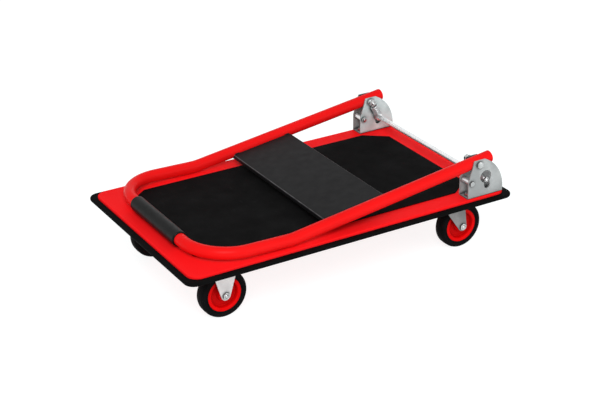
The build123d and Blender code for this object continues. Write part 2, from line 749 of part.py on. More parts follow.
def make_bar_spool():
    """Spool on the bar's right-hand end: the spring's hook sits between its flanges."""
    high = BRACKET_IN - SIDE_GAP
    spool = round_bar(SLEEVE_RADIUS, BAR_X, BAR_Z, SPOOL_END, high)
    for low in (SPOOL_END, high - SPOOL_FLANGE):
        spool += round_bar(SPOOL_RADIUS, BAR_X, BAR_Z, low, low + SPOOL_FLANGE)
    return spool - round_bar(M6_RADIUS + SEAT, BAR_X, BAR_Z, SPOOL_END, high)


def make_bar_end_nut():
    """Nut on the bar's right-hand end, sunk in the keyhole."""
    nut = hex_nut(M6_RADIUS, M6_FLAT, M6_NUT)
    return facing_y(nut, BAR_X, BRACKET_OUT + BAR_NUT_PROUD - M6_NUT, BAR_Z, 1)


# Springs
def spring_way(along, side, across):
    """A direction in the right-hand spring's own frame."""
    return SPRING_ALONG * along + SPRING_SIDE * side + SPRING_ACROSS * across


def spring_point(along, side, across):
    """A point in the right-hand spring's own frame, which starts at the pivot."""
    return Vector(PIVOT_X, SPRING_Y, PIVOT_Z) + spring_way(along, side, across)


def hook_stop(middle, facing, turn):
    """A point and direction on a hook, which bends round the middle given."""
    along = middle - facing * SPRING_RADIUS * sin(turn)
    point = spring_point(along, facing * SPRING_RADIUS * cos(turn), -SPRING_BEND)
    return point, spring_way(cos(turn), sin(turn), 0)


def coil_stop(turns, pitch):
    """A point and direction on the coil, after a number of turns."""
    angle = 2 * pi * turns
    side = SPRING_RADIUS * cos(angle)
    across = SPRING_RADIUS * sin(angle)
    point = spring_point(SPRING_END + pitch * turns, side, across)
    return point, spring_way(pitch / (2 * pi), -across, side).normalized()


def biarc(start, start_way, end, end_way):
    """Two tangent arcs from one point and direction to another."""
    span = end - start
    along = span.dot(start_way + end_way)
    turn = 2 * (1 - start_way.dot(end_way))
    reach = (sqrt(along**2 + turn * span.dot(span)) - along) / turn
    first = start + start_way * reach
    last = end - end_way * reach
    joint = (first + last) * 0.5
    return [TangentArc(start, joint, tangent=start_way), TangentArc(joint, end, tangent=last - first)]


def biarcs(stops):
    """Tangent arcs through a list of points and directions."""
    edges = []
    for start, end in zip(stops, stops[1:]):
        edges += biarc(*start, *end)
    return edges


def wire_gap(path):
    """Least gap between stretches of the wire that aren't neighbours."""
    step = path.length / SPRING_SAMPLES
    skip = int(pi * SPRING_RADIUS / step)
    points = [path.position_at(number / SPRING_SAMPLES) for number in range(SPRING_SAMPLES + 1)]
    pairs = [(a, b) for number, a in enumerate(points) for b in points[number + skip :]]
    return min((b - a).length for a, b in pairs) - SPRING_WIRE


def make_lock_spring():
    """Right-hand extension spring: a hook on the pivot's sleeve, a coil, a hook on the bar's spool."""
    pitch = (BAR_DISTANCE - 2 * SPRING_END) / SPRING_TURNS
    hook_turns = [radians(SPRING_HOOK_ARC) * share / HOOK_STEPS for share in range(HOOK_STEPS + 1)]
    upper = [hook_stop(0, 1, turn) for turn in reversed(hook_turns)]
    lower = [hook_stop(BAR_DISTANCE, -1, turn) for turn in hook_turns]
    half_turns = round(2 * SPRING_TURNS)
    coil = [coil_stop(number / 2, pitch) for number in range(half_turns + 1)]
    coil[0] = (coil[0][0], spring_way(0, 0, 1))
    coil[-1] = (coil[-1][0], spring_way(0, 0, -1))
    leave_hook = spring_point(SPRING_END - SPRING_BEND, SPRING_RADIUS, -SPRING_BEND)
    reach_hook = spring_point(BAR_DISTANCE - SPRING_END + SPRING_BEND, -SPRING_RADIUS, -SPRING_BEND)
    edges = biarcs(upper)
    edges.append(Line(upper[-1][0], leave_hook))
    edges.append(TangentArc(leave_hook, coil[0][0], tangent=SPRING_ALONG))
    edges += biarcs(coil)
    edges.append(TangentArc(coil[-1][0], reach_hook, tangent=coil[-1][1]))
    edges.append(Line(reach_hook, lower[0][0]))
    edges += biarcs(lower)
    path = Wire(edges)
    start, start_way = upper[0]
    spring = sweep(Plane(origin=start, z_dir=start_way) * Circle(SPRING_WIRE / 2), path)
    print("lock spring: least gap to itself", round(wire_gap(path), 2), "mm")
    return spring


# Assembly
def make_parts():
    """Every node of the trolley, by name."""
    parts = {
        "deck_pan": make_deck_pan(),
        "deck_mat": make_deck_mat(),
        "edge_bumper": make_edge_bumper(),
        "front_cross_member": make_cross_member(FRONT_X),
        "rear_cross_member": make_cross_member(REAR_X),
        "long_stiffeners": make_long_stiffeners(),
        "caster_bolts": make_caster_bolts(),
        "caster_nuts": make_caster_nuts(),
        "swivel_balls": make_swivel_balls(),
        "bracket_bolts": make_bracket_bolts(),
        "bracket_nuts": make_bracket_nuts(),
        "pivot_bolts": both_sides(make_pivot_bolt()),
        "pivot_sleeves": both_sides(make_pivot_sleeve()),
        "pivot_nuts": both_sides(make_pivot_nut()),
        "stop_bolts": both_sides(make_stop_bolt()),
        "stop_sleeves": both_sides(make_stop_sleeve()),
        "stop_nuts": both_sides(make_stop_nut()),
        "front_axle_bolts": Compound(children=[axle_bolt(FRONT_X, sign) for sign in SIDES.values()]),
        "front_axle_nuts": Compound(children=[axle_nut(FRONT_X, sign) for sign in SIDES.values()]),
        "handle_tube": make_handle_tube(),
        "tube_end_caps": both_sides(make_tube_end_cap()),
        "pivot_bushes": both_sides(make_pivot_bush()),
        "handle_grip": make_handle_grip(),
        "handle_panel": make_handle_panel(),
        "release_bar": make_release_bar(),
        "bar_spools": both_sides(make_bar_spool()),
        "bar_end_nuts": both_sides(make_bar_end_nut()),
        "lock_springs": both_sides(make_lock_spring()),
    }
    for side, sign in SIDES.items():
        parts["hinge_bracket_" + side] = make_hinge_bracket(side)
        parts["front_fork_" + side] = make_front_fork(side)
        parts["swivel_plate_" + side] = make_swivel_plate(side)
        parts["kingpin_" + side] = make_kingpin(side)
        parts["swivel_fork_" + side] = make_swivel_fork(side)
        parts["rear_axle_bolt_" + side] = axle_bolt(REAR_AXLE_X, sign)
        parts["rear_axle_nut_" + side] = axle_nut(REAR_AXLE_X, sign)
        for end in ("front", "rear"):
            place = wheel_place(end, side)
            parts["tyre_" + end + "_" + side] = place * make_tyre()
            parts["hub_" + end + "_" + side] = place * make_hub()
            parts["wheel_bush_" + end + "_" + side] = place * make_wheel_bush()
    return parts


os.makedirs("parts", exist_ok=True)
for name, shape in make_parts().items():
    export_step(shape, os.path.join("parts", name + ".step"))
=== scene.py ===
import json
import math

import bpy
from mathutils import Matrix, Vector


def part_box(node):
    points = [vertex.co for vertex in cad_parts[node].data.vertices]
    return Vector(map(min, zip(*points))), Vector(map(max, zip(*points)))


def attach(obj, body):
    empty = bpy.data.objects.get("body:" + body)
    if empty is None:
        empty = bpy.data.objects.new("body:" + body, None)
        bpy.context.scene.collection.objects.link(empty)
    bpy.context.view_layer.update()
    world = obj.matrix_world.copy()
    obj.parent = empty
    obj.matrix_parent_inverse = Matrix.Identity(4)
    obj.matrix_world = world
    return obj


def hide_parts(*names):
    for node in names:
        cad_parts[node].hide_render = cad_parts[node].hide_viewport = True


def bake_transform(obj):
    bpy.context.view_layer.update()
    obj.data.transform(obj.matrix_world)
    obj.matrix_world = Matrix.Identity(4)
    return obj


MM = 0.001
SIGNS = (-1, 1)
UP = Vector((0, 0, 1))
DOWN = Vector((0, 0, -1))

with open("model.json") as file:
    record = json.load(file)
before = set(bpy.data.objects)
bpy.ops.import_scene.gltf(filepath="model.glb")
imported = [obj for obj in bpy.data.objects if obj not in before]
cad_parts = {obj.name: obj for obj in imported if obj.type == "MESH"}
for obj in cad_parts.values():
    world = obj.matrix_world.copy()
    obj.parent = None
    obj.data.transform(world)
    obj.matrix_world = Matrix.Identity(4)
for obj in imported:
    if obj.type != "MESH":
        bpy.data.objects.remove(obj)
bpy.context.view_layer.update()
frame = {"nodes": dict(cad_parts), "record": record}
nodes = frame["nodes"]


# Places and sizes read from the CAD model, in millimetres
def islands(node):
    """Lowest and highest corner of each separate solid in a CAD node."""
    mesh = nodes[node].data
    keys = [tuple(round(c / MM, 3) for c in vertex.co) for vertex in mesh.vertices]
    parent = {key: key for key in keys}

    def root(key):
        while parent[key] != key:
            parent[key] = parent[parent[key]]
            key = parent[key]
        return key

    for edge in mesh.edges:
        first, second = edge.vertices
        parent[root(keys[first])] = root(keys[second])
    groups = {}
    for key in parent:
        groups.setdefault(root(key), []).append(key)
    return [(Vector(map(min, *group)), Vector(map(max, *group))) for group in groups.values()]


def corners(node):
    """Lowest and highest corner of a whole CAD node."""
    low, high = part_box(node)
    return low / MM, high / MM


def middle(node):
    """Middle of a CAD node's box."""
    low, high = corners(node)
    return (low + high) / 2


RECORD = frame["record"]
BODY_OF = {node: body for body, members in RECORD["behaviour"]["bodies"].items() for node in members}
SLOT_OF = {row["node"]: row["material_slot"] for row in RECORD["subparts"]}
PIVOT = middle("pivot_bolts")
BAR = middle("release_bar")

# Sizes that the model's boxes don't give, in millimetres, and the slope of the folded leg
LEG_SLOPE = math.radians(7.8998)
LEG_Y = 200.5
TUBE_RADIUS = 12.7
HAT_SHEET = 2.0
HAT_BRIM = 14.0
M8 = {"radius": 4.0, "flat": 13.0, "head": 5.3, "nut": 6.5, "pitch": 1.25}
M8_THIN = {**M8, "nut": 4.0}
M6 = {"radius": 3.0, "flat": 10.0, "head": 4.0, "nut": 5.0, "pitch": 1.0}

# Darker and lighter tone that each coat drifts between
ZINC_TONES = ((0.390, 0.411, 0.411), (0.440, 0.461, 0.461))
# Painted light: paler, cooler tones that lighten the brackets' inner faces and cancel the red of light
# bounced off the deck
PAINTED_LIGHT_INNER_TONES = ((0.535, 0.635, 0.635), (0.590, 0.695, 0.695))
TONES = {
    "red_deck_coat": ((0.86, 0.0085, 0.0105), (0.91, 0.0110, 0.0135)),
    "red_tube_coat": ((0.71, 0.0060, 0.0062), (0.77, 0.0076, 0.0078)),
    "black_powder_coat": ((0.0080, 0.0080, 0.0088), (0.0120, 0.0120, 0.0128)),
    "panel_powder_coat": ((0.0072, 0.0072, 0.0078), (0.0112, 0.0112, 0.0119)),
    "mat_rubber": ((0.0034, 0.0034, 0.0035), (0.0058, 0.0058, 0.0060)),
    "edge_rubber": ((0.0026, 0.0026, 0.0027), (0.0046, 0.0046, 0.0048)),
    "tyre_rubber": ((0.0040, 0.0040, 0.0043), (0.0070, 0.0069, 0.0075)),
    "grip_plastic": ((0.0036, 0.0039, 0.0039), (0.0056, 0.0059, 0.0059)),
    "hub_plastic": ((0.72, 0.0016, 0.0020), (0.80, 0.0028, 0.0034)),
    "bush_plastic": ((0.020, 0.020, 0.021), (0.030, 0.030, 0.031)),
    "bright_steel": ((0.78, 0.80, 0.81), (0.88, 0.90, 0.91)),
    "zinc_plate": ZINC_TONES,
    "bracket_zinc": ZINC_TONES,
    "fork_zinc": ((0.80, 0.812, 0.808), (0.86, 0.872, 0.868)),
    # Painted shade: a darker copy of the fork zinc for the turning casters' forks and plates
    "swivel_zinc": ((0.270, 0.277, 0.279), (0.310, 0.317, 0.319)),
    "plated_fasteners": ((0.52, 0.53, 0.53), (0.66, 0.67, 0.67)),
    "spring_wire": ((0.62, 0.64, 0.65), (0.74, 0.76, 0.77)),
}

# Tints laid over the tones
MAT_SCUFF = (0.020, 0.020, 0.021)
EDGE_SCUFF = (0.016, 0.016, 0.016)
TYRE_SCUFF = (0.018, 0.018, 0.018)
# Painted highlight: a pale tint along the panel's folds
FOLD_HIGHLIGHT = (0.110, 0.110, 0.112)
# Painted shade: a dark tint in corners and round fasteners
PAINTED_SHADE_TINT = (0.012, 0.012, 0.014)
# Painted shade: deep red in the hubs' recesses
HUB_PAINTED_SHADE_TINT = (0.20, 0.0006, 0.0006)

# Where tints and tones lie: reaches and patches in millimetres, and spans of a texture's level
NOISE_SPAN = (0.3, 0.7)
# Painted shade reach in the hubs' recesses
HUB_PAINTED_SHADE = 14.0
# Painted shade reaches round plates' corners, fasteners and spring turns, then its occlusion samples and
# span
PLATE_PAINTED_SHADE = 7.0
FASTENER_PAINTED_SHADE = 4.6
WIRE_PAINTED_SHADE = 3.4
PAINTED_SHADE_SAMPLES = 8
PAINTED_SHADE_SPAN = (0.5, 0.97)
# Ways of the panel's folds that take the painted highlight, then the span and patches of that highlight
PANEL_FOLDS = ((-0.80, 0, 0.60), (0.60, 0, 0.80))
HIGHLIGHT_SPAN = (0.88, 0.97)
HIGHLIGHT_PATCH = 14.0
HIGHLIGHT_LEAST = 0.4
ZINC_GRAIN_SPAN = (0.1, 0.9)
ZINC_CLOUD = 38.0
ZINC_CLOUD_SPAN = (0.42, 0.62)
ZINC_DULLED = 0.74
# Painted light covers what lies nearer the middle than this: the brackets' inner faces
INNER_SKIN = 0.6
INNER_FACE = corners("hinge_bracket_right")[0].y + INNER_SKIN


# Material nodes
class Looks:
    """One procedural material: a Principled shader and the textures that feed it."""

    def __init__(self, name, specular, metallic=0.0):
        self.tones = TONES[name]
        self.material = bpy.data.materials.new(name)
        self.material.use_nodes = True
        self.tree = self.material.node_tree
        self.shader = self.tree.nodes["Principled BSDF"]
        self.shader.inputs["Metallic"].default_value = metallic
        self.shader.inputs["Specular IOR Level"].default_value = specular
        self.coordinates = self.node("TexCoord")
        self.relief = None

    def node(self, kind):
        return self.tree.nodes.new("ShaderNode" + kind)

    def link(self, source, target):
        self.tree.links.new(source, target)

    def math_node(self, operation, first):
        """A math node on one value, with its second input still free."""
        node = self.node("Math")
        node.operation = operation
        self.link(first, node.inputs[0])
        return node

    def stretched(self, stretch):
        """Object coordinates, scaled by axis so that a grain can run one way."""
        mapping = self.node("Mapping")
        mapping.inputs["Scale"].default_value = stretch
        self.link(self.coordinates.outputs["Object"], mapping.inputs["Vector"])
        return mapping.outputs["Vector"]

    def noise(self, size, detail=3.0, stretch=(1, 1, 1)):
        """Noise whose features are about the size given, in millimetres."""
        texture = self.node("TexNoise")
        texture.inputs["Scale"].default_value = 1 / (size * MM)
        texture.inputs["Detail"].default_value = detail
        self.link(self.stretched(stretch), texture.inputs["Vector"])
        return texture.outputs["Fac"]

    def cells(self, size):
        """Cells about the size given, in millimetres: their distance field and their random colour."""
        texture = self.node("TexVoronoi")
        texture.inputs["Scale"].default_value = 1 / (size * MM)
        self.link(self.coordinates.outputs["Object"], texture.inputs["Vector"])
        return texture.outputs

    def ramp(self, factor, low, high, span=NOISE_SPAN):
        """Colours from low to high over a span of a factor."""
        ramp = self.node("ValToRGB")
        for element, position, colour in zip(ramp.color_ramp.elements, span, (low, high)):
            element.position = position
            element.color = (*colour, 1)
        self.link(factor, ramp.inputs["Fac"])
        return ramp.outputs["Color"]

    def mask(self, factor, start, end, span=NOISE_SPAN):
        """Grey levels over a span of a factor."""
        return self.ramp(factor, (start, start, start), (end, end, end), span)

    def drift(self, size, detail=3.0):
        """The coat's own tones, in patches about the size given."""
        return self.ramp(self.noise(size, detail), *self.tones)

    def mix(self, mask, base):
        """A colour mix whose first colour is the base, with its second one still free."""
        mix = self.node("Mix")
        mix.data_type = "RGBA"
        self.link(mask, mix.inputs["Factor"])
        self.link(base, mix.inputs["A"])
        return mix

    def over(self, base, mask, tint):
        """A base colour with a tint laid over it by a mask."""
        mix = self.mix(mask, base)
        mix.inputs["B"].default_value = (*tint, 1)
        return mix.outputs["Result"]

    def scuffs(self, base, factor, tint, span, amount):
        """A base colour with a tint where a texture passes a level."""
        return self.over(base, self.mask(factor, 0, amount, span), tint)

    def painted_shade(self, base, reach, tint, amount):
        """A base colour with painted shade: darkened in corners and round fasteners, within a reach in
        millimetres.
        """
        shade = self.node("AmbientOcclusion")
        shade.samples = PAINTED_SHADE_SAMPLES
        shade.inputs["Distance"].default_value = reach * MM
        return self.over(base, self.mask(shade.outputs["AO"], amount, 0, PAINTED_SHADE_SPAN), tint)

    def painted_highlight(self, base, way, tint):
        """A base colour with a painted highlight: a pale tint where the surface faces a way, patchy along
        it.
        """
        face = self.node("VectorMath")
        face.operation = "DOT_PRODUCT"
        self.link(self.coordinates.outputs["Normal"], face.inputs[0])
        face.inputs[1].default_value = Vector(way).normalized()
        patchy = self.math_node("MULTIPLY", self.mask(face.outputs["Value"], 0, 1, HIGHLIGHT_SPAN))
        self.link(self.mask(self.noise(HIGHLIGHT_PATCH), HIGHLIGHT_LEAST, 1), patchy.inputs[1])
        return self.over(base, patchy.outputs["Value"], tint)

    def toward_middle(self, outer, inner, limit):
        """An outer colour, and an inner one closer to the middle plane than a limit in millimetres."""
        place = self.node("SeparateXYZ")
        self.link(self.coordinates.outputs["Object"], place.inputs["Vector"])
        off = self.math_node("ABSOLUTE", place.outputs["Y"])
        beyond = self.math_node("GREATER_THAN", off.outputs["Value"])
        beyond.inputs[1].default_value = limit * MM
        mix = self.mix(beyond.outputs["Value"], inner)
        self.link(outer, mix.inputs["B"])
        return mix.outputs["Result"]

    def paint(self, colour):
        self.link(colour, self.shader.inputs["Base Color"])

    def rough(self, factor, low, high):
        """Roughness from low to high."""
        span = self.node("MapRange")
        for socket, level in zip(("From Min", "From Max", "To Min", "To Max"), (*NOISE_SPAN, low, high)):
            span.inputs[socket].default_value = level
        self.link(factor, span.inputs["Value"])
        self.link(span.outputs["Result"], self.shader.inputs["Roughness"])

    def bump(self, factor, depth, strength):
        """Adds relief of the depth given, in millimetres, on top of any relief before it."""
        bump = self.node("Bump")
        bump.inputs["Distance"].default_value = depth * MM
        bump.inputs["Strength"].default_value = strength
        self.link(factor, bump.inputs["Height"])
        if self.relief is not None:
            self.link(self.relief, bump.inputs["Normal"])
        self.relief = bump.outputs["Normal"]
        self.link(self.relief, self.shader.inputs["Normal"])


def make_red_paint(name, specular, roughness):
    """Powder coat: a little orange peel and a slight drift of tone."""
    looks = Looks(name, specular)
    looks.paint(looks.drift(size=160.0))
    looks.rough(looks.noise(size=24.0), *roughness)
    looks.bump(looks.noise(size=2.4, detail=1.0), depth=0.03, strength=0.5)
    return looks.material


def make_black_paint(name, patch, detail, folds=()):
    """Satin black powder coat with a fine grain, and a painted highlight along folds that face the ways
    given.
    """
    looks = Looks(name, specular=0.06)
    base = looks.drift(patch, detail)
    for fold in folds:
        # Painted highlight along each fold
        base = looks.painted_highlight(base, fold, FOLD_HIGHLIGHT)
    looks.paint(base)
    looks.rough(looks.noise(size=18.0), low=0.40, high=0.52)
    looks.bump(looks.noise(size=0.9, detail=2.0), depth=0.05, strength=0.6)
    return looks.material


def make_mat_rubber():
    """Matt sheet rubber with a fine pebble and faint grey scuffs."""
    looks = Looks("mat_rubber", specular=0.02)
    streaks = looks.noise(size=9.0, detail=6.0, stretch=(1, 0.4, 1))
    looks.paint(looks.scuffs(looks.drift(size=70.0), streaks, MAT_SCUFF, span=(0.62, 0.78), amount=0.25))
    looks.rough(looks.noise(size=30.0), low=0.66, high=0.80)
    looks.bump(looks.cells(size=2.2)["Distance"], depth=0.22, strength=0.6)
    looks.bump(looks.noise(size=0.7, detail=2.0), depth=0.05, strength=0.5)
    return looks.material


def make_edge_rubber():
    """Extruded rubber edging with faint scuffs."""
    looks = Looks("edge_rubber", specular=0.02)
    rubs = looks.noise(size=6.0, detail=6.0)
    looks.paint(looks.scuffs(looks.drift(size=40.0), rubs, EDGE_SCUFF, span=(0.60, 0.75), amount=0.3))
    looks.rough(looks.noise(size=12.0), low=0.62, high=0.76)
    looks.bump(looks.noise(size=1.1), depth=0.08, strength=0.6)
    return looks.material


def make_tyre_rubber():
    """Moulded solid rubber with a dusty bloom."""
    looks = Looks("tyre_rubber", specular=0.025)
    dust = looks.noise(size=4.0, detail=6.0)
    looks.paint(looks.scuffs(looks.drift(size=26.0), dust, TYRE_SCUFF, span=(0.60, 0.76), amount=0.3))
    looks.rough(looks.noise(size=9.0), low=0.58, high=0.74)
    looks.bump(looks.noise(size=0.8), depth=0.07, strength=0.6)
    return looks.material


def make_grip_plastic():
    """Soft dark grey sleeve with a fine grain along it."""
    looks = Looks("grip_plastic", specular=0.1)
    looks.paint(looks.drift(size=22.0))
    looks.rough(looks.noise(size=8.0), low=0.34, high=0.46)
    looks.bump(looks.noise(size=1.0, detail=2.0, stretch=(1, 0.25, 1)), depth=0.08, strength=0.7)
    return looks.material


def zinc_colour(looks, grain, low, high):
    """Faint crystal patches, about as large as the grain, under dull clouds."""
    patches = looks.ramp(looks.cells(size=grain)["Color"], low, high, ZINC_GRAIN_SPAN)
    dull = [ZINC_DULLED * level for level in low]
    clouds = looks.noise(size=ZINC_CLOUD, detail=1.0)
    return looks.scuffs(patches, clouds, dull, ZINC_CLOUD_SPAN, amount=0.8)


def make_zinc(name, grain, painted_shade, metallic=0.25, roughness=(0.44, 0.56), inner=None):
    """Zinc plate: patches, clouds, rolling lines and painted shade in corners, and painted light in paler,
    cooler tones on inner faces if given.
    """
    looks = Looks(name, specular=0.2, metallic=metallic)
    base = zinc_colour(looks, grain, *looks.tones)
    if inner:
        # Painted light on the inner faces
        base = looks.toward_middle(base, zinc_colour(looks, grain, *inner), INNER_FACE)
    # Painted shade in corners and round fasteners
    looks.paint(looks.painted_shade(base, painted_shade, PAINTED_SHADE_TINT, amount=0.9))
    looks.rough(looks.noise(size=5.0, stretch=(0.25, 1, 1)), *roughness)
    looks.bump(looks.noise(size=0.6, detail=2.0, stretch=(0.08, 1, 1)), depth=0.02, strength=0.4)
    return looks.material


def make_bright_steel():
    """Bright plated steel with faint turning lines."""
    looks = Looks("bright_steel", specular=0.5, metallic=0.7)
    looks.paint(looks.drift(size=14.0))
    looks.rough(looks.noise(size=4.0), low=0.24, high=0.36)
    looks.bump(looks.noise(size=0.5, detail=1.0, stretch=(1, 0.1, 1)), depth=0.003, strength=0.2)
    return looks.material


def make_hub_plastic():
    """Moulded red plastic with a soft sheen, and painted shade deepening the red in its recesses."""
    looks = Looks("hub_plastic", specular=0.04)
    # Painted shade in the recesses
    looks.paint(looks.painted_shade(looks.drift(size=30.0), HUB_PAINTED_SHADE, HUB_PAINTED_SHADE_TINT, amount=0.85))
    looks.rough(looks.noise(size=10.0), low=0.38, high=0.50)
    looks.bump(looks.noise(size=0.9, detail=2.0), depth=0.03, strength=0.5)
    return looks.material


def make_bush_plastic():
    """Plain dark bush plastic."""
    looks = Looks("bush_plastic", specular=0.2)
    looks.paint(looks.drift(size=6.0))
    looks.rough(looks.noise(size=3.0), low=0.42, high=0.58)
    return looks.material


MATERIALS = {
    "red_paint": make_red_paint("red_deck_coat", specular=0.02, roughness=(0.40, 0.48)),
    "tube_paint": make_red_paint("red_tube_coat", specular=0.05, roughness=(0.28, 0.36)),
    "black_paint": make_black_paint("black_powder_coat", patch=90.0, detail=3.0),
    # Painted highlight along the panel's folds
    "panel_paint": make_black_paint("panel_powder_coat", patch=240.0, detail=1.0, folds=PANEL_FOLDS),
    "mat_rubber": make_mat_rubber(),
    "edge_rubber": make_edge_rubber(),
    "tyre": make_tyre_rubber(),
    "grip_plastic": make_grip_plastic(),
    "zinc_plate": make_zinc("zinc_plate", grain=5.0, painted_shade=PLATE_PAINTED_SHADE),
    # Painted shade in corners, and painted light on the inner faces
    "bracket_zinc": make_zinc("bracket_zinc", grain=5.0, painted_shade=PLATE_PAINTED_SHADE, inner=PAINTED_LIGHT_INNER_TONES),
    "fork_zinc": make_zinc("fork_zinc", grain=4.0, painted_shade=PLATE_PAINTED_SHADE),
    # Painted shade: the darker copy of the fork zinc
    "swivel_zinc": make_zinc("swivel_zinc", grain=4.0, painted_shade=PLATE_PAINTED_SHADE),
    "plated_fasteners": make_zinc(
        # Painted shade round the fasteners
        "plated_fasteners", grain=1.6, painted_shade=FASTENER_PAINTED_SHADE, metallic=0.85, roughness=(0.18, 0.30)
    ),
    "spring_wire": make_zinc(
        # Painted shade between the spring's turns and next to the plates
        "spring_wire", grain=2.0, painted_shade=WIRE_PAINTED_SHADE, metallic=0.65, roughness=(0.24, 0.34)
    ),
    "bright_steel": make_bright_steel(),
    "red_plastic": make_hub_plastic(),
    "dark_plastic": make_bush_plastic(),
}
OWN_MATERIAL = {
    "deck_mat": "mat_rubber",
    "edge_bumper": "edge_rubber",
    "handle_tube": "tube_paint",
    "tube_end_caps": "tube_paint",
    "handle_panel": "panel_paint",
}
FAMILY_MATERIAL = {
    "front_fork": "fork_zinc",
    "hinge_bracket": "bracket_zinc",
    # Painted shade: the turning casters take the darker zinc
    "swivel_fork": "swivel_zinc",
    "swivel_plate": "swivel_zinc",
}


def dress_nodes():
    """Gives every CAD node its own material, its family's, or its slot's."""
    for node, slot in SLOT_OF.items():
        family = node.rpartition("_")[0]
        name = OWN_MATERIAL.get(node) or FAMILY_MATERIAL.get(family, slot)
        mesh = nodes[node].data
        mesh.materials.clear()
        mesh.materials.append(MATERIALS[name])


# Mesh building
SHARP_ANGLE = math.radians(32)


class Shape:
    """Vertices, in millimetres, and faces of one piece, gathered from simple forms."""

    def __init__(self):
        self.points = []
        self.faces = []

    def add(self, points, faces, matrix=None):
        start = len(self.points)
        self.points += [matrix @ Vector(p) if matrix else Vector(p) for p in points]
        self.faces += [tuple(start + i for i in face) for face in faces]

    def piece(self, name, slot):
        """The finished mesh object, in metres, with its slot's material."""
        mesh = bpy.data.meshes.new(name)
        mesh.from_pydata([p * MM for p in self.points], [], self.faces)
        mesh.validate()
        mesh.materials.append(MATERIALS[slot])
        mesh.shade_smooth()
        mesh.set_sharp_from_angle(angle=SHARP_ANGLE)
        obj = bpy.data.objects.new(name, mesh)
        bpy.context.scene.collection.objects.link(obj)
        return obj

    def stand_for(self, node, suffix):
        """The finished piece, in place of a node and on its body."""
        obj = self.piece(node + suffix, SLOT_OF[node])
        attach(obj, BODY_OF[node])
        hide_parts(node)


def along(origin, direction):
    """A matrix that puts local +Z along a direction, from an origin."""
    turn = UP.rotation_difference(Vector(direction))
    return Matrix.Translation(Vector(origin)) @ turn.to_matrix().to_4x4()


def turns(count):
    """Angles of equal steps round a full circle."""
    return [2 * math.pi * i / count for i in range(count)]


def circle(radius, height, count):
    """Points of a level circle about Z."""
    return [(radius * math.cos(a), radius * math.sin(a), height) for a in turns(count)]


def rings(loops, closed_loop=False):
    """Points and faces of a skin over loops of equal length, capped or run back to the first loop."""
    count = len(loops[0])
    points = [p for loop in loops for p in loop]
    faces = []
    pairs = len(loops) if closed_loop else len(loops) - 1
    for row in range(pairs):
        lower = row * count
        upper = (row + 1) % len(loops) * count
        for i in range(count):
            j = (i + 1) % count
            faces.append((lower + i, lower + j, upper + j, upper + i))
    if not closed_loop:
        faces.append(tuple(reversed(range(count))))
        faces.append(tuple(range(len(points) - count, len(points))))
    return points, faces


def lathe(profile, segments, closed_loop=False):
    """A skin turned about Z from a profile of radius and height."""
    return rings([circle(radius, height, segments) for radius, height in profile], closed_loop)


def mirrored(half):
    """A profile of radius and height from its half on one side."""
    return [(r, -y) for r, y in half] + [(r, y) for r, y in reversed(half)]


# Heads, nuts and threads: the face as a share of the width, the thread's depth as a share of its pitch
HEX_STEPS = 48
HEX_CHAMFER = math.tan(math.radians(30))
HEX_FACE = 0.94
HEX_RIM = 0.02
NUT_PLAY = 0.03
NUT_SINK = 0.5
THREAD_DEPTH = 0.48
THREAD_SEGMENTS = 32
TIP_ROOM = 1.0
TIP_LENGTH = 0.8
TIP_TAPER = 0.7


def hex_radius(flat, angle):
    """Radius of a hexagon's outline at an angle."""
    inside = (angle + math.pi / 6) % (math.pi / 3) - math.pi / 6
    return flat / 2 / math.cos(inside)


def hex_loops(flat, low, high, chamfer_high):
    """Loops of a hexagonal prism with turned-off corners at its low face, and its high one if asked."""
    face = flat / 2 * HEX_FACE
    bottom, side_low, side_high, top = [], [], [], []
    for angle in turns(HEX_STEPS):
        wide = hex_radius(flat, angle)
        drop = (wide - face) * HEX_CHAMFER
        ray = Vector((math.cos(angle), math.sin(angle), 0))
        bottom.append(ray * face + UP * low)
        side_low.append(ray * wide + UP * (low + drop))
        side_high.append(ray * wide + UP * (high - (drop if chamfer_high else HEX_RIM)))
        top.append(ray * (face if chamfer_high else wide) + UP * high)
    return [bottom, side_low, side_high, top]


def hex_head(size):
    """A bolt's head below z = 0, with its chamfered face outward."""
    return rings(hex_loops(size["flat"], -size["head"], 0, chamfer_high=False))


def hex_nut(size):
    """A nut from z = 0 upwards, with a countersunk bore."""
    height = size["nut"]
    bore = size["radius"] + NUT_PLAY
    sink = bore + NUT_SINK
    inside = [(sink, height), (bore, height - NUT_SINK), (bore, NUT_SINK), (sink, 0)]
    loops = hex_loops(size["flat"], 0, height, chamfer_high=True)
    loops += [circle(radius, z, HEX_STEPS) for radius, z in inside]
    return rings(loops, closed_loop=True)


def threaded(size, plain, length):
    """A shank from z = 0 upwards: plain, then threaded, with a chamfered tip."""
    radius = size["radius"]
    pitch = size["pitch"]
    root = radius - THREAD_DEPTH * pitch
    profile = [(radius, 0), (radius, plain)]
    z = plain
    while z + pitch < length - TIP_ROOM:
        profile += [(root, z + pitch / 2), (radius, z + pitch)]
        z += pitch
    profile += [(root, length - TIP_LENGTH), (root - TIP_TAPER, length)]
    return lathe(profile, THREAD_SEGMENTS)


# Fasteners: the size of each, and the way its head or its nut's free face looks
STICK_OUT = 2.0
THREAD_SPARE = 1.5
BOLTS = {
    "pivot_bolts": (M8, "out"),
    "stop_bolts": (M6, "out"),
    "front_axle_bolts": (M8, "in"),
    "rear_axle_bolt_left": (M8, "in"),
    "rear_axle_bolt_right": (M8, "in"),
    "caster_bolts": (M8, "down"),
    "bracket_bolts": (M8, "up"),
}
NUTS = {
    "pivot_nuts": (M8, "in"),
    "stop_nuts": (M6, "in"),
    "front_axle_nuts": (M8_THIN, "out"),
    "rear_axle_nut_left": (M8_THIN, "out"),
    "rear_axle_nut_right": (M8_THIN, "out"),
    "caster_nuts": (M8, "up"),
    "bracket_nuts": (M8, "down"),
    "bar_end_nuts": (M6, "out"),
}


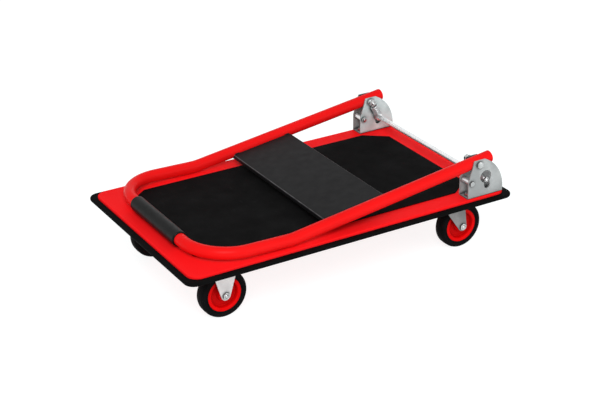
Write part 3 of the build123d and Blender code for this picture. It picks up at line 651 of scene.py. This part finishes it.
def facing(word, place):
    """The direction that a word names, for a piece on one side of the trolley."""
    side = 1 if place.y > 0 else -1
    outward = Vector((0, side, 0))
    return {"out": outward, "in": -outward, "up": UP, "down": DOWN}[word]


def make_bolts(node, size, word):
    """Turned bolts in place of a node's plain ones: chamfered heads and threads."""
    shape = Shape()
    for low, high in islands(node):
        centre = (low + high) / 2
        head = facing(word, centre)
        extent = abs((high - low).dot(head))
        length = extent - size["head"]
        plain = length - size["nut"] - STICK_OUT - THREAD_SPARE
        place = along(centre + head * (extent / 2 - size["head"]), -head)
        shape.add(*hex_head(size), place)
        shape.add(*threaded(size, plain, length), place)
    shape.stand_for(node, "_turned")


def make_nuts(node, size, word):
    """Turned nuts in place of a node's plain ones: chamfered, with countersunk bores."""
    shape = Shape()
    for low, high in islands(node):
        centre = (low + high) / 2
        way = facing(word, centre)
        shape.add(*hex_nut(size), along(centre - way * size["nut"] / 2, way))
    shape.stand_for(node, "_turned")


# Release bar
ACROSS = Vector((0, 1, 0))
TURNED_SEGMENTS = 40
BAR_BEVEL = 0.8
BAR_THREAD_SPARE = 2.0
SPOOL_FLANGE = 2.5
SPOOL_CORE = 6.0
SPOOL_PLAY = 0.06
SPOOL_ROUND = 0.6
SPOOL_ROUND_MIDDLE = 0.18


def make_bar():
    """Release bar with chamfered shoulders and threaded ends."""
    low, high = corners("release_bar")
    radius = (high.x - low.x) / 2
    shoulder = min(abs(corner.y) for box in islands("bar_spools") for corner in box)
    half = [(M6["radius"], shoulder), (radius - BAR_BEVEL, shoulder), (radius, shoulder - BAR_BEVEL)]
    bar = Shape()
    bar.add(*lathe(mirrored(half), TURNED_SEGMENTS), along((BAR.x, 0, BAR.z), ACROSS))
    length = high.y - shoulder
    plain = length - M6["nut"] - STICK_OUT - BAR_THREAD_SPARE
    for sign in SIGNS:
        end = along((BAR.x, sign * shoulder, BAR.z), sign * ACROSS)
        bar.add(*threaded(M6, plain, length), end)
    bar.stand_for("release_bar", "_turned")


def make_spools():
    """Spools that hold the springs' hooks on the bar, with rounded flanges."""
    shape = Shape()
    bore = M6["radius"] + SPOOL_PLAY
    for low, high in islands("bar_spools"):
        rim = (high.x - low.x) / 2
        length = high.y - low.y
        flange = [
            (rim - SPOOL_ROUND, 0),
            (rim - SPOOL_ROUND_MIDDLE, SPOOL_ROUND_MIDDLE),
            (rim, SPOOL_ROUND),
            (rim, SPOOL_FLANGE - SPOOL_ROUND),
            (rim - SPOOL_ROUND, SPOOL_FLANGE),
            (SPOOL_CORE, SPOOL_FLANGE),
        ]
        far_flange = [(radius, length - z) for radius, z in reversed(flange)]
        profile = [(bore, 0), *flange, *far_flange, (bore, length)]
        start = ((low.x + high.x) / 2, low.y, (low.z + high.z) / 2)
        shape.add(*lathe(profile, TURNED_SEGMENTS, closed_loop=True), along(start, ACROSS))
    shape.stand_for("bar_spools", "_turned")


# Springs: sizes in millimetres, and the rings of a wire's domed end as width and push in radii
SPRING_RADIUS = 7.2
SPRING_WIRE = 2.0
SPRING_END = 9.5
SPRING_BEND = 2.5
SPRING_TURNS = 9.5
SPRING_HOOK = math.radians(230)
SPRING_Y = 176.5
WIRE_SEGMENTS = 14
WIRE_DOME = ((0.55, 0.42), (0.88, 0.16))
HOOK_STEPS = 24
BEND_STEPS = 6
COIL_STEPS = 24


def spring_line(sign):
    """Centre line of one spring's wire: hook, coil, hook."""
    span = Vector((BAR.x - PIVOT.x, 0, BAR.z - PIVOT.z))
    length = span.length
    forward = span.normalized()
    across = -ACROSS
    sideways = across.cross(forward)
    local = []
    for i in range(HOOK_STEPS + 1):
        turn = SPRING_HOOK * (1 - i / HOOK_STEPS)
        local.append((-SPRING_RADIUS * math.sin(turn), SPRING_RADIUS * math.cos(turn), -SPRING_BEND))
    start = SPRING_END - SPRING_BEND
    for i in range(1, BEND_STEPS + 1):
        bend = math.pi / 2 * i / BEND_STEPS
        local.append((start + SPRING_BEND * math.sin(bend), SPRING_RADIUS, -SPRING_BEND * math.cos(bend)))
    pitch = (length - 2 * SPRING_END) / SPRING_TURNS
    steps = int(SPRING_TURNS * COIL_STEPS)
    for i in range(1, steps):
        turn = 2 * math.pi * SPRING_TURNS * i / steps
        rise = SPRING_END + pitch * turn / (2 * math.pi)
        local.append((rise, SPRING_RADIUS * math.cos(turn), SPRING_RADIUS * math.sin(turn)))
    end = length - SPRING_END + SPRING_BEND
    for i in range(BEND_STEPS + 1):
        bend = math.pi / 2 * (1 - i / BEND_STEPS)
        local.append((end - SPRING_BEND * math.sin(bend), -SPRING_RADIUS, -SPRING_BEND * math.cos(bend)))
    for i in range(HOOK_STEPS + 1):
        turn = SPRING_HOOK * i / HOOK_STEPS
        reach = length + SPRING_RADIUS * math.sin(turn)
        local.append((reach, -SPRING_RADIUS * math.cos(turn), -SPRING_BEND))
    origin = Vector((PIVOT.x, SPRING_Y, PIVOT.z))
    line = [origin + forward * a + sideways * b + across * c for a, b, c in local]
    return [Vector((p.x, sign * p.y, p.z)) for p in line]


def wire(line, radius, segments):
    """A round wire along a line, with domed ends."""
    stations = []
    tangent = (line[1] - line[0]).normalized()
    normal = tangent.orthogonal().normalized()
    for i, point in enumerate(line):
        ahead = line[min(i + 1, len(line) - 1)]
        behind = line[max(i - 1, 0)]
        new_tangent = (ahead - behind).normalized()
        normal = tangent.rotation_difference(new_tangent) @ normal
        normal = (normal - new_tangent * normal.dot(new_tangent)).normalized()
        tangent = new_tangent
        stations.append((point, normal.copy(), tangent.cross(normal), tangent.copy()))
    skins = [(stations[0], share, -push) for share, push in WIRE_DOME]
    skins += [(station, 1, 0) for station in stations]
    skins += [(stations[-1], share, push) for share, push in reversed(WIRE_DOME)]
    loops = []
    for (point, normal, binormal, tangent), share, push in skins:
        centre = point + tangent * radius * push
        rays = [normal * math.cos(a) + binormal * math.sin(a) for a in turns(segments)]
        loops.append([centre + ray * radius * share for ray in rays])
    return rings(loops)


def make_springs():
    """The two lock springs, which stretch between the platform and the bar."""
    springs = Shape()
    for sign in SIGNS:
        springs.add(*wire(spring_line(sign), SPRING_WIRE / 2, WIRE_SEGMENTS))
    obj = springs.piece("lock_springs_wound", "spring_wire")
    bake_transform(obj)
    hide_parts("lock_springs")


# Swivel races
BALL_RINGS = 16
BALL_SEGMENTS = 28


def make_balls():
    """Round balls for the races of the turning casters."""
    shape = Shape()
    levels = [math.pi * i / BALL_RINGS for i in range(1, BALL_RINGS)]
    for low, high in islands("swivel_balls"):
        radius = (high.z - low.z) / 2
        profile = [(radius * math.sin(level), -radius * math.cos(level)) for level in levels]
        shape.add(*lathe(profile, BALL_SEGMENTS), along((low + high) / 2, UP))
    shape.stand_for("swivel_balls", "_turned")


# Wheels: rise from the rim or drop from the tread, then inset from the side, or half width of the line
TYRE_BEAD = [
    (0.05, 1.4),
    (0.6, 0.6),
    (1.6, 0.4),
    (2.4, 0.4),
    (2.9, 1.1),
    (3.6, 1.1),
    (4.1, 0.3),
    (5.5, 0.05),
]
TYRE_SHOULDER = [(5.4, 0.1), (3.7, 0.7), (2.1, 1.8), (1.0, 3.3), (0.4, 5.2), (0.2, 9.0)]
TREAD_LINE = [(0.15, 0.6), (0.0, 0.35)]
TYRE_SEGMENTS = 112


def make_tyre(node):
    """A tyre with a bead groove on each side and a moulding line round the tread."""
    low, high = corners(node)
    hub_low, hub_high = corners(node.replace("tyre", "hub"))
    tread = (high.z - low.z) / 2
    rim = (hub_high.z - hub_low.z) / 2
    side = (high.y - low.y) / 2
    half = [(rim + rise, side - inset) for rise, inset in TYRE_BEAD]
    half += [(tread - drop, side - inset) for drop, inset in TYRE_SHOULDER]
    half += [(tread - drop, width) for drop, width in TREAD_LINE]
    shape = Shape()
    shape.add(*lathe(mirrored(half), TYRE_SEGMENTS, closed_loop=True), along(middle(node), ACROSS))
    shape.stand_for(node, "_moulded")


# Welds
BEAD_SIDES = 12
BEAD_RIPPLE = 2.2
BEAD_SWELL = 0.14
STEPS_PER_RIPPLE = 6
PANEL_NEAR = 208.0
PANEL_FAR = 349.0
PANEL_WELD = 9.0
PANEL_WELD_INSET = 4.0
PANEL_WELD_RADIUS = 1.4
PANEL_WELD_LIFT = -0.6
PANEL_WELD_SINK = 0.1
SPOT_PROFILE = [(3.8, -0.1), (3.5, 0.2), (3.0, 0.36), (2.3, 0.32), (1.4, 0.12), (0.4, 0.05)]
SPOT_SEGMENTS = 20
SPOT_PITCH = 42.0
SPOT_END = 16.0


def leg_point(distance, lift, y):
    """A point beside the folded leg: distance from the pivot along it, lift square to it."""
    forward = Vector((-math.cos(LEG_SLOPE), 0, -math.sin(LEG_SLOPE)))
    up = Vector((-math.sin(LEG_SLOPE), 0, math.cos(LEG_SLOPE)))
    return Vector((PIVOT.x, y, PIVOT.z)) + forward * distance + up * lift


def weld_bead(start, end, radius):
    """A run of weld with rippled, rounded lumps."""
    steps = int((end - start).length / BEAD_RIPPLE * STEPS_PER_RIPPLE)
    line = [start.lerp(end, i / steps) for i in range(steps + 1)]
    points, faces = wire(line, radius, BEAD_SIDES)
    swollen = []
    for row in range(0, len(points), BEAD_SIDES):
        loop = points[row : row + BEAD_SIDES]
        centre = sum(loop, Vector()) / BEAD_SIDES
        phase = (centre - start).length / BEAD_RIPPLE
        swell = 1 + BEAD_SWELL * math.cos(2 * math.pi * phase)
        swollen += [centre + (p - centre) * swell for p in loop]
    return swollen, faces


def make_panel_welds():
    """Short welds that hold the panel's corners to the legs."""
    shape = Shape()
    y = LEG_Y - TUBE_RADIUS + PANEL_WELD_SINK
    starts = (PANEL_NEAR + PANEL_WELD_INSET, PANEL_FAR - PANEL_WELD_INSET - PANEL_WELD)
    for sign in SIGNS:
        for first in starts:
            start = leg_point(first, PANEL_WELD_LIFT, sign * y)
            end = leg_point(first + PANEL_WELD, PANEL_WELD_LIFT, sign * y)
            shape.add(*weld_bead(start, end, PANEL_WELD_RADIUS))
    obj = shape.piece("panel_welds", "black_paint")
    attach(obj, "handle")


def make_spot_welds():
    """Spot welds that hold the brims of the hat sections to the deck."""
    shape = Shape()
    for node in ("front_cross_member", "rear_cross_member", "long_stiffeners"):
        for low, high in islands(node):
            length = high - low
            run, across = (0, 1) if length.x > length.y else (1, 0)
            row = length[run] - 2 * SPOT_END
            count = int(row / SPOT_PITCH) + 1
            step = row / (count - 1)
            for edge in (low[across] + HAT_BRIM / 2, high[across] - HAT_BRIM / 2):
                for i in range(count):
                    place = Vector((0, 0, high.z - HAT_SHEET))
                    place[run] = low[run] + SPOT_END + i * step
                    place[across] = edge
                    shape.add(*lathe(SPOT_PROFILE, SPOT_SEGMENTS), along(place, DOWN))
    obj = shape.piece("spot_welds", SLOT_OF["front_cross_member"])
    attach(obj, "platform")


dress_nodes()
for bolt_node, (bolt_size, head_way) in BOLTS.items():
    make_bolts(bolt_node, bolt_size, head_way)
for nut_node, (nut_size, nut_way) in NUTS.items():
    make_nuts(nut_node, nut_size, nut_way)
make_bar()
make_spools()
make_springs()
make_balls()
for cad_node in nodes:
    if cad_node.startswith("tyre_"):
        make_tyre(cad_node)
make_panel_welds()
make_spot_welds()

# Stage, light and camera: the frame's width and the focal length in pixels, the camera's turn in degrees
WHITE = (1, 1, 1, 1)
FLOOR_REACH = 12.0
FLOOR_COLOUR = (0.80, 0.80, 0.80, 1)
FLOOR_SHADOW = (0.25, 0.30, 0.30, 1)
FLOOR_GLOW = 0.86
WORLD_LIGHT = 0.57
SHOWN_RAYS = ("Is Camera Ray", "Is Glossy Ray", "Is Transmission Ray")
LAMP_TARGET = Vector((0, 0, 0.1))
LAMPS = {
    "key": {"place": (-2.4, -3.9, 4.2), "size": 2.7, "power": 250.0},
    "fill": {"place": (2.0, -3.6, 1.4), "size": 2.6, "power": 24.0},
}
FRAME_WIDTH = 600
FOCAL_LENGTH = 1548.0744
SENSOR_WIDTH = 36.0
CLIP_END = 60.0
CAMERA_PLACE = (-1.4775877, -2.4773931, 1.5015777)
CAMERA_TURN = (64.3844556, 0.4653750, -31.0192229)


def shown(tree):
    """1 for a ray of any of the kinds that show the background."""
    light_path = tree.nodes.new("ShaderNodeLightPath")
    total = light_path.outputs[SHOWN_RAYS[0]]
    for name in SHOWN_RAYS[1:]:
        larger = tree.nodes.new("ShaderNodeMath")
        larger.operation = "MAXIMUM"
        tree.links.new(total, larger.inputs[0])
        tree.links.new(light_path.outputs[name], larger.inputs[1])
        total = larger.outputs["Value"]
    return total


def choice(tree, factor, first, second):
    """A mix of two shaders: the first at 0, the second at 1."""
    mix = tree.nodes.new("ShaderNodeMixShader")
    tree.links.new(factor, mix.inputs["Fac"])
    tree.links.new(first, mix.inputs[1])
    tree.links.new(second, mix.inputs[2])
    return mix.outputs["Shader"]


def make_floor():
    """White floor that keeps the object's shadow, and is clear when seen from below."""
    mesh = bpy.data.meshes.new("floor")
    square = [(x * FLOOR_REACH, y * FLOOR_REACH, 0) for x, y in ((-1, -1), (1, -1), (1, 1), (-1, 1))]
    mesh.from_pydata(square, [], [(0, 1, 2, 3)])
    floor = bpy.data.objects.new("floor", mesh)
    bpy.context.scene.collection.objects.link(floor)
    material = bpy.data.materials.new("floor_white")
    material.use_nodes = True
    tree = material.node_tree
    pale = tree.nodes["Principled BSDF"]
    pale.inputs["Base Color"].default_value = FLOOR_COLOUR
    pale.inputs["Roughness"].default_value = 1.0
    pale.inputs["Specular IOR Level"].default_value = 0.0
    shadow = tree.nodes.new("ShaderNodeBsdfDiffuse")
    shadow.inputs["Color"].default_value = FLOOR_SHADOW
    glow = tree.nodes.new("ShaderNodeEmission")
    glow.inputs["Strength"].default_value = FLOOR_GLOW
    seen = tree.nodes.new("ShaderNodeAddShader")
    tree.links.new(shadow.outputs["BSDF"], seen.inputs[0])
    tree.links.new(glow.outputs["Emission"], seen.inputs[1])
    clear = tree.nodes.new("ShaderNodeBsdfTransparent")
    side = tree.nodes.new("ShaderNodeNewGeometry")
    front = choice(tree, shown(tree), pale.outputs["BSDF"], seen.outputs["Shader"])
    both = choice(tree, side.outputs["Backfacing"], front, clear.outputs["BSDF"])
    tree.links.new(both, tree.nodes["Material Output"].inputs["Surface"])
    mesh.materials.append(material)


def make_world():
    """Soft white surroundings: white to the camera and in reflections, plainer as light."""
    world = bpy.data.worlds.new("studio")
    bpy.context.scene.world = world
    world.use_nodes = True
    tree = world.node_tree
    background = tree.nodes["Background"]
    background.inputs["Color"].default_value = WHITE
    span = tree.nodes.new("ShaderNodeMapRange")
    span.inputs["To Min"].default_value = WORLD_LIGHT
    span.inputs["To Max"].default_value = 1.0
    tree.links.new(shown(tree), span.inputs["Value"])
    tree.links.new(span.outputs["Result"], background.inputs["Strength"])


def make_lamp(name, place, size, power):
    """A square soft lamp aimed at the trolley."""
    data = bpy.data.lights.new(name, "AREA")
    data.shape = "SQUARE"
    data.size = size
    data.energy = power
    lamp = bpy.data.objects.new(name, data)
    lamp.location = place
    lamp.rotation_euler = (LAMP_TARGET - Vector(place)).to_track_quat("-Z", "Y").to_euler()
    bpy.context.scene.collection.objects.link(lamp)


def make_camera():
    """Camera solved from the photograph's deck, mat and wheels."""
    data = bpy.data.cameras.new("camera")
    data.sensor_width = SENSOR_WIDTH
    data.lens = SENSOR_WIDTH * FOCAL_LENGTH / FRAME_WIDTH
    data.clip_end = CLIP_END
    camera = bpy.data.objects.new("camera", data)
    camera.location = CAMERA_PLACE
    camera.rotation_euler = [math.radians(angle) for angle in CAMERA_TURN]
    bpy.context.scene.collection.objects.link(camera)
    bpy.context.scene.camera = camera


make_floor()
make_world()
for lamp_name, lamp_values in LAMPS.items():
    make_lamp(lamp_name, **lamp_values)
make_camera()
bpy.context.scene.view_settings.view_transform = "Standard"
